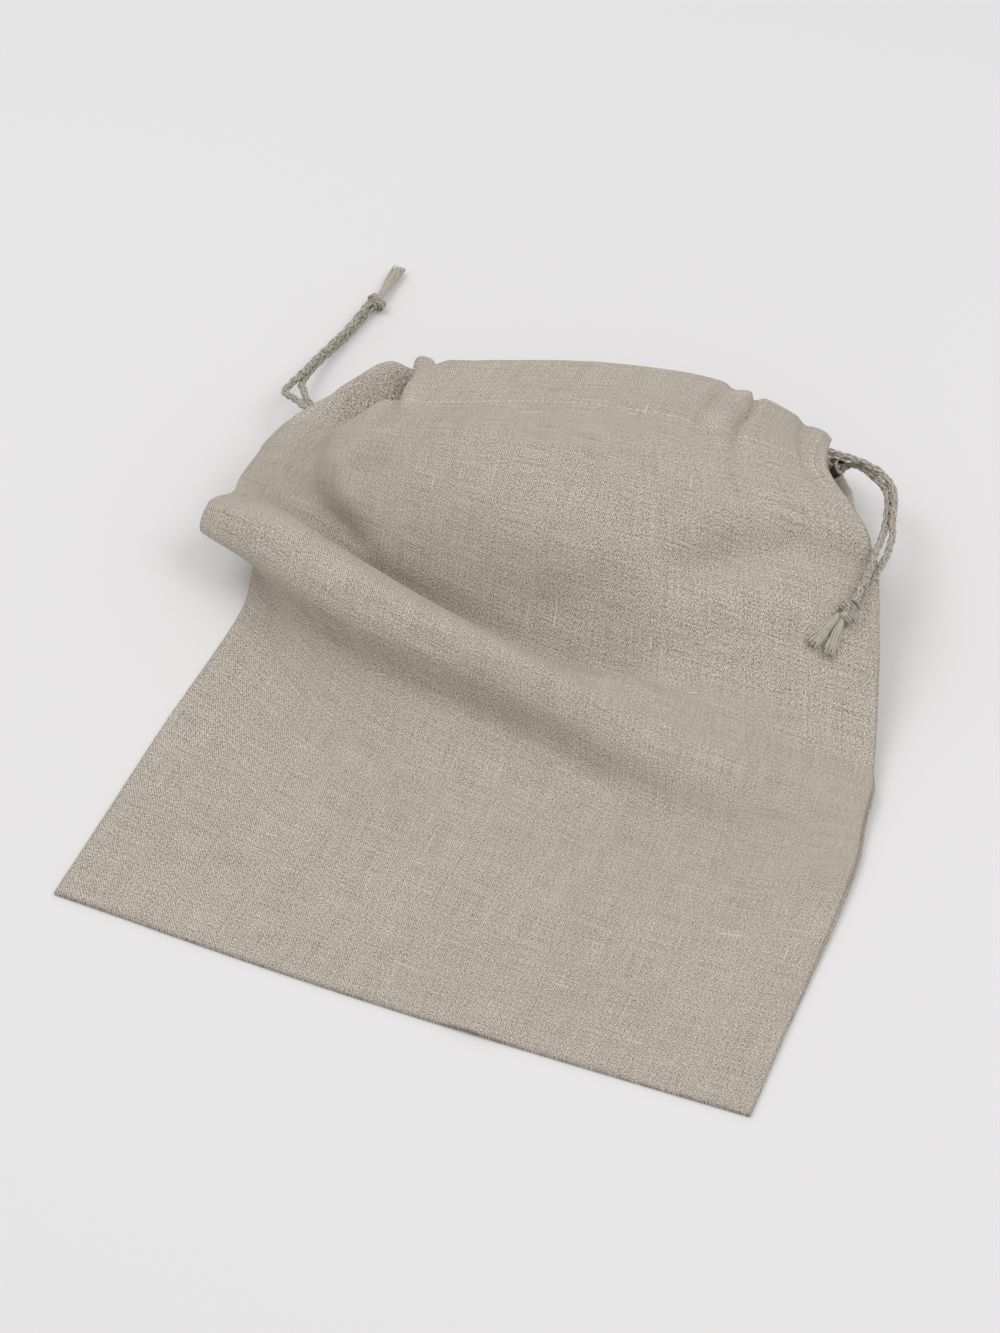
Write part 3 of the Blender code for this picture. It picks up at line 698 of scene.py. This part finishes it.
guideShares = [0.0, 0.1, 0.2, 0.5, 0.8, 1.0]
panel = {
    "width": 360 * mm, "length": 450 * mm, "thickness": 0.9 * mm, "channel": 6.4 * mm,
    "columns": [22, 22, 44, 48, 42],  # cells between the guide lines
    "furrow": 0.35 * mm, "furrowLines": 0.9, "lowestFront": 1.85 * mm, "clear": 0.03 * mm,
    "seamGap": 1.5 * mm, "pinch": 0.66 * mm, "pinchWidth": 3.0 * mm, "pinchBelow": 0.385,
}
ripples = {
    "layers": [(45 * mm, 5, 0.5 * mm), (17 * mm, 6, 0.16 * mm)],  # length, seed, height
    "waves": 14, "lengths": (0.7, 1.9), "least": 0.25, "grows": (0.20, 0.08),
}
frontSections = [  # name, cells to the next section, then the places at the guide lines
    ("bottom", 40, (0, 0, 2.1), (36, -1, 2.1), (72, -2.3, 2.1), (180, -4, 2.1), (288, -2, 2.1),
     (360, 0, 2.1)),
    ("flat", 28, (0.5, 120, 2.1), (36, 112, 2.1), (72, 105, 2.1), (180, 90, 2.1), (288, 85, 2.1),
     (360.5, 90, 3.2)),
    ("foot", 10, (1, 221, 2.8), (36, 198, 2.9), (70, 175, 3), (177, 148, 2.8), (287, 137, 2.5),
     (360.5, 149, 4.4)),
    ("tuck", 10, (-9, 247, 13), (26, 216, 14), (62.5, 198.5, 10.5), (171.5, 177.5, 6.5), (286, 158, 5.6),
     (359.7, 166, 5)),
    ("face", 9, (-29.5, 232, 31), (13, 217.5, 38), (52.5, 203, 38), (166, 185.5, 32), (283, 174, 16.5),
     (356.8, 184, 5.9)),
    ("crest", 8, (-28, 240, 45), (10, 232, 51.5), (50, 218, 50.5), (164, 198, 42), (281, 189, 21.8),
     (355.2, 197, 7.2)),
    ("back", 10, (-27.5, 251, 41), (9, 248, 46), (51, 237, 42), (161, 213, 32), (279, 204, 20.3),
     (354, 209, 7.5)),
    ("valley", 7, (-24, 262, 36), (8, 262, 29), (50, 250.5, 21), (160, 229.5, 12.5), (277, 217, 21),
     (351, 222, 8.4)),
    ("rise", 12, (-25.8, 275, 35), (8, 270, 37), (49, 258, 36), (157, 244, 28), (272, 234, 26.5),
     (345, 244, 13)),
    ("flank", 16, (-25, 289, 36), (9, 287, 47), (48, 280, 55), (151, 268.5, 65), (258, 276, 56),
     (330, 293, 30)),
    ("top", 14, (-23, 304, 38), (12, 305, 56), (48, 303, 70.5), (146, 312, 85), (240, 318, 77),
     (309, 349, 38.5)),
    ("stitching", 16, (-17, 323, 40.5), (21, 330, 62), (55, 322, 77), (140, 341, 88.5), (216, 358, 82),
     (269.5, 393, 42)),
    ("mouth", 0, (4, 351, 47), (32, 364, 66), (62, 358, 79), (145, 378, 87.5), (216, 403, 72),
     (263.5, 420.5, 38.5)),
]
# as far as the standing fold the back lies this far inside the front
backGaps = [1.5, 1.5, 1.7, 2.2, 3.0, 3.2, 3.0]
backSections = [
    ("landing", 6, (-24, 262, 34.4), (9, 257, 16), (50, 254, 3.5), (159, 234, 2.6), (277, 219, 5),
     (351, 222, 6.1)),
    ("rise", 10, (-25.8, 275.5, 33.4), (9, 272, 12), (47, 268, 0.6), (156, 250, 0.6), (272, 239, 0.6),
     (345, 245, 11.4)),
    ("flank", 12, (-25, 289.6, 34.4), (6, 291, 12), (40, 295, 0.6), (148, 298, 0.6), (262, 296, 0.6),
     (330, 293.5, 28.4)),
    ("top", 14, (-23, 304, 36.4), (4, 313, 12), (33, 323, 0.6), (140, 348, 0.6), (250, 352, 0.6),
     (309.3, 349.5, 37.3)),
    ("stitching", 16, (-18, 324, 28), (2, 337, 11), (27, 349, 0.6), (133, 381, 0.6), (239, 404, 0.6),
     (276.4, 400, 33)),
    ("mouth", 0, (-11, 357.5, 16), (4, 371, 7), (21, 384, 0.6), (127, 415, 0.6), (232, 438, 0.6),
     (271.5, 419.5, 15.5)),
]
# depth and width in millimetres, then places on the flat cloth: across, along, share of the depth
frontFolds = [
    ("mouthCrease", -9, 5, [(37, 453, 1), (44, 434, 1), (60, 413, 0.9), (70, 399, 0.6), (76, 385, 0)]),
    ("creaseFoot", -7, 6, [(40, 441, 0.5), (43, 427, 1), (46, 413, 1), (44, 401, 0.6), (40, 388, 0)]),
    ("creaseHollow", -17, 10, [
        (43, 434, 0.7), (37, 424, 1), (28, 410, 0.9), (29, 385, 0.7), (33, 362, 0.45), (40, 348, 0.5),
        (54, 337, 0.5), (72, 326, 0.3),
    ]),
    ("pillow", 6.5, 12, [(60, 412, 0.5), (67, 398, 1), (68, 381, 1), (58, 364, 1.1), (63, 350, 0.9)]),
    ("leftLobe", 4, 8, [(20, 428, 1), (27, 442, 1)]),
    ("rightPleat", -4.5, 3.5, [(299, 453, 1), (305, 430, 0.9), (301, 400, 0.6), (294, 370, 0)]),
    ("besidePleat", 1.5, 6, [(291, 445, 0.4), (293, 430, 1), (290, 405, 1), (284, 380, 0)]),
    ("secondPleat", -3.5, 7, [(282, 453, 0.8), (280, 430, 1), (277, 400, 0.8), (272, 372, 0)]),
    ("casingEndCrease", -3, 6, [(340, 450, 1), (347, 414, 1), (347, 388, 0.2)]),
    ("valleyRunsOut", 8, 12, [
        (200, 262, 0), (222, 246, 0.5), (236, 238, 1), (262, 232, 0.7), (290, 226, 0.3),
    ]),
    ("rightFlankDent", -10, 13, [(262, 307, 0.6), (283, 316, 1), (307, 328, 1), (350, 351, 0.7)]),
    ("underTassel", -3, 8, [(318, 284, 1), (332, 279, 1)]),
    ("flankHollow", -3, 16, [(193, 294, 1), (207, 301, 1)]),
    ("bottomLift", 1.6, 12, [(220, 0, 1), (239, 30, 1), (258, 55, 0.5)]),
]
mouthShifts = [(37, 4, 2), (64, 5, -6), (363, 5, -5)]  # place across, width, how far the edge moves on
mouthFade = (415, 35)  # millimetres along the cloth: where the gathers begin, and over how many they grow
# share of the way back, and distance from the panel in millimetres
hemProfile = ([0, 0.25, 0.5, 0.75, 1], [6.4, 6.4, 6.4, 5.2, 1.1])
hemTurn = np.radians(np.arange(22.5, 180, 22.5))
showing = {"along": (50, 70), "across": (0.94, 0.06), "ends": (270, -60), "by": 1.7 * mm}
slit = {"lines": (9, -5), "across": (0.93, 0.05)}


def rising(value, start, over):
    return np.clip((value - start) / over, 0, 1)


def stationsOf(knots, steps):
    cells = zip(knots, knots[1:], steps)
    places = [low + (high - low) * i / count for low, high, count in cells for i in range(count)]
    return np.array(places + [knots[-1]])


columnShares = stationsOf(guideShares, panel["columns"])


def loftPanel(rows, steps):
    across = np.array([smoothCurve(row, guideShares, columnShares) for row in rows])
    columns = []
    for column in across.transpose(1, 0, 2):
        chords = np.sqrt(np.linalg.norm(np.diff(column, axis=0), axis=1))
        knots = np.concatenate([[0], np.cumsum(chords)])
        columns.append(smoothCurve(column, knots, stationsOf(knots, steps)))
    return np.stack(columns, axis=1)


def normalsOf(grid):
    return unit(np.cross(np.gradient(grid, axis=1), np.gradient(grid, axis=0)))


def clothPlaces(grid):
    # across the cloth and along it, in metres, as it was cut
    steps = np.linalg.norm(np.diff(grid, axis=0), axis=2)
    along = np.vstack([np.zeros(grid.shape[1]), np.cumsum(steps, axis=0)])
    across = np.broadcast_to(columnShares * panel["width"], along.shape)
    return across, along * panel["length"] / along[-1]


def foldLift(x, y, folds):
    # places on the cloth in millimetres; a fold fades away from its line
    lift = np.zeros(x.shape)
    for _, depth, width, path in folds:
        best, strength = np.full(x.shape, np.inf), np.zeros(x.shape)
        for (x0, y0, s0), (x1, y1, s1) in zip(path, path[1:]):
            dx, dy = x1 - x0, y1 - y0
            t = np.clip(((x - x0) * dx + (y - y0) * dy) / (dx * dx + dy * dy), 0, 1)
            away = np.hypot(x - x0 - t * dx, y - y0 - t * dy)
            nearer = away < best
            best, strength = np.where(nearer, away, best), np.where(nearer, s0 + (s1 - s0) * t, strength)
        lift += depth * mm * strength * np.exp(-((best / width) ** 2))
    return lift


def shiftMouth(grid, across, along, shifts):
    # the drawn edge steps forwards and back between its gathers, and the casing follows it
    onward = unit(np.gradient(grid, axis=0))
    fade = rising(along / mm, *mouthFade) ** 2
    shift = sum(step * np.exp(-(((across / mm - place) / width) ** 2)) for place, width, step in shifts)
    return grid + onward * (shift * fade * mm)[:, :, None]


def rippleOf(across, along, plan):
    # slow unevenness of the cloth: crossing waves
    total = np.zeros(across.shape)
    for size, seed, height in plan["layers"]:
        rng = np.random.default_rng(seed)
        for _ in range(plan["waves"]):
            angle, phase = rng.uniform(0, math.pi), rng.uniform(0, math.tau)
            count = math.tau / (size * rng.uniform(*plan["lengths"]))
            wave = np.sin(count * (across * math.cos(angle) + along * math.sin(angle)) + phase)
            total += wave * height / plan["waves"]
    return total


def withHem(grid, inward, cellsBack):
    radius = panel["channel"] / 2
    onward = unit(grid[-1] - grid[-2])
    centre = grid[-1] + inward[-1] * radius
    turn = [centre + radius * (onward * math.sin(angle) - inward[-1] * math.cos(angle)) for angle in hemTurn]
    backs = np.arange(cellsBack + 1)
    away = np.interp(backs / cellsBack, *hemProfile) * mm
    lining = [grid[-1 - back] + inward[-1 - back] * step for back, step in zip(backs, away)]
    return np.concatenate([grid, turn, lining])


def addPanel(name, grid, outwards, material):
    lines, columns = grid.shape[:2]
    steps = np.linalg.norm(np.diff(grid, axis=0), axis=2).mean(axis=1)
    along = np.concatenate([[0], np.cumsum(steps)])
    places = np.stack(np.broadcast_arrays(columnShares * panel["width"], along[:, None]), axis=2)
    index = np.arange(lines * columns).reshape(lines, columns)
    corners = (index[:-1, :-1], index[:-1, 1:], index[1:, 1:], index[1:, :-1])
    faces = np.stack(corners if outwards else corners[::-1], axis=2).reshape(-1, 4)
    piece = addPiece(name, (grid.reshape(-1, 3), faces, places.reshape(-1, 2)), material, "clothMap")
    thicken = piece.modifiers.new("thickness", "SOLIDIFY")
    thicken.thickness = panel["thickness"]
    thicken.offset = 0
    return piece


def sectionPlaces(sections):
    return [placed(section[2:]) for section in sections]


def cellsOf(sections):
    return [section[1] for section in sections[:-1]]


frontSteps = cellsOf(frontSections)
hemCells = frontSteps[-1]
frontPlain = loftPanel(sectionPlaces(frontSections), frontSteps)
across, along = clothPlaces(frontPlain)
ripple = rippleOf(across, along, ripples) * np.maximum(rising(along, *ripples["grows"]), ripples["least"])
frontPlain = frontPlain + normalsOf(frontPlain) * ripple[:, :, None]
frontPlain[:, :, 2] = np.maximum(frontPlain[:, :, 2], panel["lowestFront"])
seamAway = np.minimum(columnShares, 1 - columnShares) * panel["width"]
edge = np.exp(-(np.minimum(seamAway, along) / panel["pinchWidth"]) ** 2)
pinch = panel["pinch"] * edge * (along < panel["pinchBelow"])
lift = foldLift(across / mm, along / mm, frontFolds) - pinch
front = frontPlain + normalsOf(frontPlain) * lift[:, :, None]
front = shiftMouth(front, across, along, mouthShifts)
fromStitches = np.arange(len(front)) - (len(front) - 1 - hemCells)
furrow = np.exp(-(fromStitches / panel["furrowLines"]) ** 2) * panel["furrow"]
front = front - normalsOf(front) * furrow[:, None, None]  # the casing's stitches draw the cloth in
frontInward = -normalsOf(front)

# As far as the standing fold the back follows the front, and shows a little past its right seam

followSteps = frontSteps[: len(backGaps)]
knots = np.cumsum([0, *followSteps[:-1]])
gaps = np.interp(np.arange(knots[-1] + 1), knots, backGaps)[:, None] * mm * np.ones(len(columnShares))
gaps[:, [0, -1]] = panel["seamGap"]
following = frontPlain[: len(gaps)] - normalsOf(frontPlain)[: len(gaps)] * gaps[:, :, None]
following[:, :, 2] = np.maximum(following[:, :, 2], panel["thickness"] / 2)
followed = along[: len(gaps)] / mm
peek = rising(followed, *showing["along"]) * rising(columnShares, *showing["across"])[None, :] ** 2
following[:, :, 0] += showing["by"] * peek * rising(followed, *showing["ends"])
guideColumns = np.cumsum([0, *panel["columns"]])
backRows = [following[line, guideColumns] for line in knots] + sectionPlaces(backSections)
back = loftPanel(backRows, followSteps + cellsOf(backSections))
back[: len(following)] = following
slitRows = sum(frontSteps[-2:]) + 1  # from the section named top to the mouth both panels have the same rows
slitClosed = rising(np.arange(slitRows), *slit["lines"])[:, None]
slitClosed = slitClosed * rising(columnShares, *slit["across"])
behindFront = front[-slitRows:] - normalsOf(front)[-slitRows:] * panel["seamGap"]
back[-slitRows:] += (behindFront - back[-slitRows:]) * slitClosed[:, :, None]
back[:, :, 2] = np.maximum(back[:, :, 2], panel["thickness"] / 2 + panel["clear"])
backInward = normalsOf(back)

frontPanel = addPanel("frontPanel", withHem(front, frontInward, hemCells), True, linen)
backPanel = addPanel("backPanel", withHem(back, backInward, hemCells), False, paintedShadeLinen)
print("panels sewn")

# Inside the casing each drawstring runs along the front, round the far slit and back along the back panel

casingCord = {"diameter": 3.9 * mm, "step": 1.6 * mm}
everyColumn = 4  # the columns of a panel from one point of the cord to the next
casingRuns = {
    "leftCordInCasing": {
        "cellsBack": 8, "way": 1,
        "loop": [(266.4, 404.4, 34.6), (267.4, 405.6, 32.0), (267.2, 406.8, 29.4)],
    },
    "rightCordInCasing": {
        "cellsBack": 4, "way": -1,
        "loop": [(-4.0, 341.4, 40.4), (-9.0, 342.4, 36.2), (-14.2, 343.6, 31.0), (-16.0, 346.2, 25.6)],
    },
}


def channelLine(grid, inward, run):
    # along the line that far back from the mouth, in the middle of the channel
    line = -1 - run["cellsBack"]
    return (grid[line] + inward[line] * panel["channel"] / 2)[:: run["way"]][everyColumn::everyColumn]


casingCords = {}
for name, run in casingRuns.items():
    frontRun, backRun = channelLine(front, frontInward, run), channelLine(back, backInward, run)
    line = np.concatenate([frontRun, placed(run["loop"]), backRun[::-1]])
    shape, _ = plait(line, {**cord, **casingCord})
    casingCords[name] = addPiece(name, shape, yarn, "yarnMap")
print("cords laid in the casing")

# Sewing: the casing's row of stitches, and the rows that hold the narrow hems of the slits

stitches = {
    "Pitch": 3.4 * mm, "Length": 2.7 * mm, "Thread": 0.30 * mm, "Lift": 0.24 * mm, "Sides": 6, "Bends": 6,
}
sewing = {"aboveTable": 0.55 * mm, "fromSlit": 8 * mm, "below": 6, "frontSeed": 4, "backSeed": 9}


def makeStitchTree():
    sockets = {
        "Geometry": "Geometry", **stitches, "Sunk": -2.2, "Raised": 3.4, "Smallest": 0.55, "Largest": 1.1,
        "Seed": 1, "Finish": "Material",
    }
    tree, given, result = newGroup("stitchRow", "GeometryNodeTree", sockets, {"Geometry": "Geometry"})
    lines = guideCurves(tree, given, given["Pitch"])
    half = times(given["Length"], 0.5)
    low, high = (times(given["Lift"], given[name]) for name in ("Sunk", "Raised"))
    arc = flow(tree, "GeometryNodeCurveQuadraticBezier", {
        "Resolution": given["Bends"], "Start": joined(times(half, -1.0), 0.0, low),
        "Middle": joined(0.0, 0.0, high), "End": joined(half, 0.0, low),
    })
    stitch = swept(tree, arc, given["Thread"], given["Sides"])
    outwards = flow(tree, "GeometryNodeInputNamedAttribute", {"Name": "outwards"}, data_type="FLOAT_VECTOR")
    heading = {"Vector": flow(tree, "GeometryNodeInputTangent")}
    turn = flow(tree, "FunctionNodeAlignRotationToVector", heading, axis="X")
    turn = flow(tree, "FunctionNodeAlignRotationToVector", {"Rotation": turn, "Vector": outwards},
                axis="Z", pivot_axis="X")
    size = newNode(tree, "FunctionNodeRandomValue", {
        2: given["Smallest"], 3: given["Largest"], "Seed": given["Seed"],
    }, data_type="FLOAT")
    rows = flow(tree, "GeometryNodeInstanceOnPoints", {
        "Points": lines, "Instance": stitch, "Rotation": turn, "Scale": size.outputs[1],
    })
    return finishTree(tree, rows, given, result)


def surfaceLine(grid, inward, lines, columns):
    ways = -inward[lines, columns]
    places = grid[lines, columns] + ways * panel["thickness"] / 2
    # the table presses the thread into the cloth
    places[:, 2] = np.maximum(places[:, 2], sewing["aboveTable"])
    return places, ways


def sewnLines(grid, inward):
    lastLine = len(grid) - 1
    casing = lastLine - hemCells
    rows = [surfaceLine(grid, inward, casing, np.arange(2, len(columnShares) - 2))]
    slitLines = np.arange(casing - sewing["below"], lastLine - 1)
    for distance in (sewing["fromSlit"], panel["width"] - sewing["fromSlit"]):
        column = np.argmin(np.abs(columnShares * panel["width"] - distance))
        rows.append(surfaceLine(grid, inward, slitLines, column))
    return rows


stitchTree = makeStitchTree()
sewn = {}
for side, grid, inward in (("front", front, frontInward), ("back", back, backInward)):
    name = side + "Stitches"
    values = {**stitches, "Seed": sewing[side + "Seed"], "Finish": sewingThread}
    sewn[name] = grown(name, sewnLines(grid, inward), stitchTree, values)
print("stitch rows sewn")

# Slubs and stray thick threads that lie in the face of the cloth, each a short waving thread

slubYarn = {
    "Yarn Radius": 0.22 * mm, "Wave": 0.16 * mm, "Wave Length": 3 * mm, "Step": 0.8 * mm, "Sides": 5,
}
strays = {  # in millimetres on the cloth
    "count": 24, "seed": 21, "across": (12, 348), "along": (10, 410), "lengths": (2.5, 8), "inWeft": 0.65,
    "slant": 0.01, "spacing": 1.2, "above": -0.02 * mm,
}
placedSlubs = [  # from and to on the cloth, across and along, in millimetres
    ((191, 282), (191.5, 297)), ((172, 25.6), (184, 24.8)), ((311, 99), (323, 101)),
    ((150, 404), (163, 404.6)), ((236, 402), (236.4, 411)), ((96, 60), (101, 60.2)),
    ((262, 352), (262.3, 358)), ((70, 140), (76, 140.3)),
]


def slubPlaces(plan):
    rng = np.random.default_rng(plan["seed"])
    places = list(placedSlubs)
    slant = plan["slant"]
    for _ in range(plan["count"]):
        start = np.array((rng.uniform(*plan["across"]), rng.uniform(*plan["along"])))
        length = rng.uniform(*plan["lengths"])
        way = np.array((1.0, slant)) if rng.random() < plan["inWeft"] else np.array((slant, 1.0))
        places.append((start, start + way * length))
    return places


def slubLines(grid, inward, plan):
    lines = []
    lift = panel["thickness"] / 2 + plan["above"]
    for start, end in slubPlaces(plan):
        count = max(3, round(math.dist(start, end) / plan["spacing"]))
        points = []
        for share in np.linspace(0, 1, count):
            x, y = (np.array(start) * (1 - share) + np.array(end) * share) * mm
            column = np.clip(np.searchsorted(across[0], x), 1, grid.shape[1] - 1)
            line = np.clip(np.searchsorted(along[:, column], y), 1, grid.shape[0] - 1)
            u = (x - across[0, column - 1]) / (across[0, column] - across[0, column - 1])
            v = (y - along[line - 1, column]) / (along[line, column] - along[line - 1, column])
            before, after = grid[line - 1 : line + 1, column - 1], grid[line - 1 : line + 1, column]
            low, high = before * (1 - u) + after * u
            points.append(low * (1 - v) + high * v - inward[line, column] * lift)
        lines.append((points,))
    return lines


slubThreads = slubLines(front, frontInward, strays)
slubs = grown("frontSlubs", slubThreads, yarnTree, {**slubYarn, "Finish": sewingThread})
print("slubs laid in the cloth")

# Everything rides on the one body, and each piece stands for its part of the plain model

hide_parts("front_panel")
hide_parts("back_panel")
for side in ("left", "right"):
    for end in ("front", "back"):
        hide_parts(f"{side}_cord_{end}_end")
    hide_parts(side + "_cord_in_casing")
    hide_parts(side + "_knot")
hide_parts("left_frayed_end")
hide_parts("right_frayed_end_1", "right_frayed_end_2")

for piece in (frontPanel, backPanel, sewn["frontStitches"], sewn["backStitches"], slubs):
    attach(piece, body)
for group in (cords, casingCords, knotPieces, tailPieces):
    for piece in group.values():
        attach(piece, body)

for name, pieces in (
    ("leftCordFront", [knotPieces["leftKnot"], tailPieces["leftTails"]]), ("leftCordBack", []),
    ("rightCordFront", [knotPieces["rightKnot"], tailPieces["rightTails"]]), ("rightCordBack", []),
):
    path = cordPaths[name]
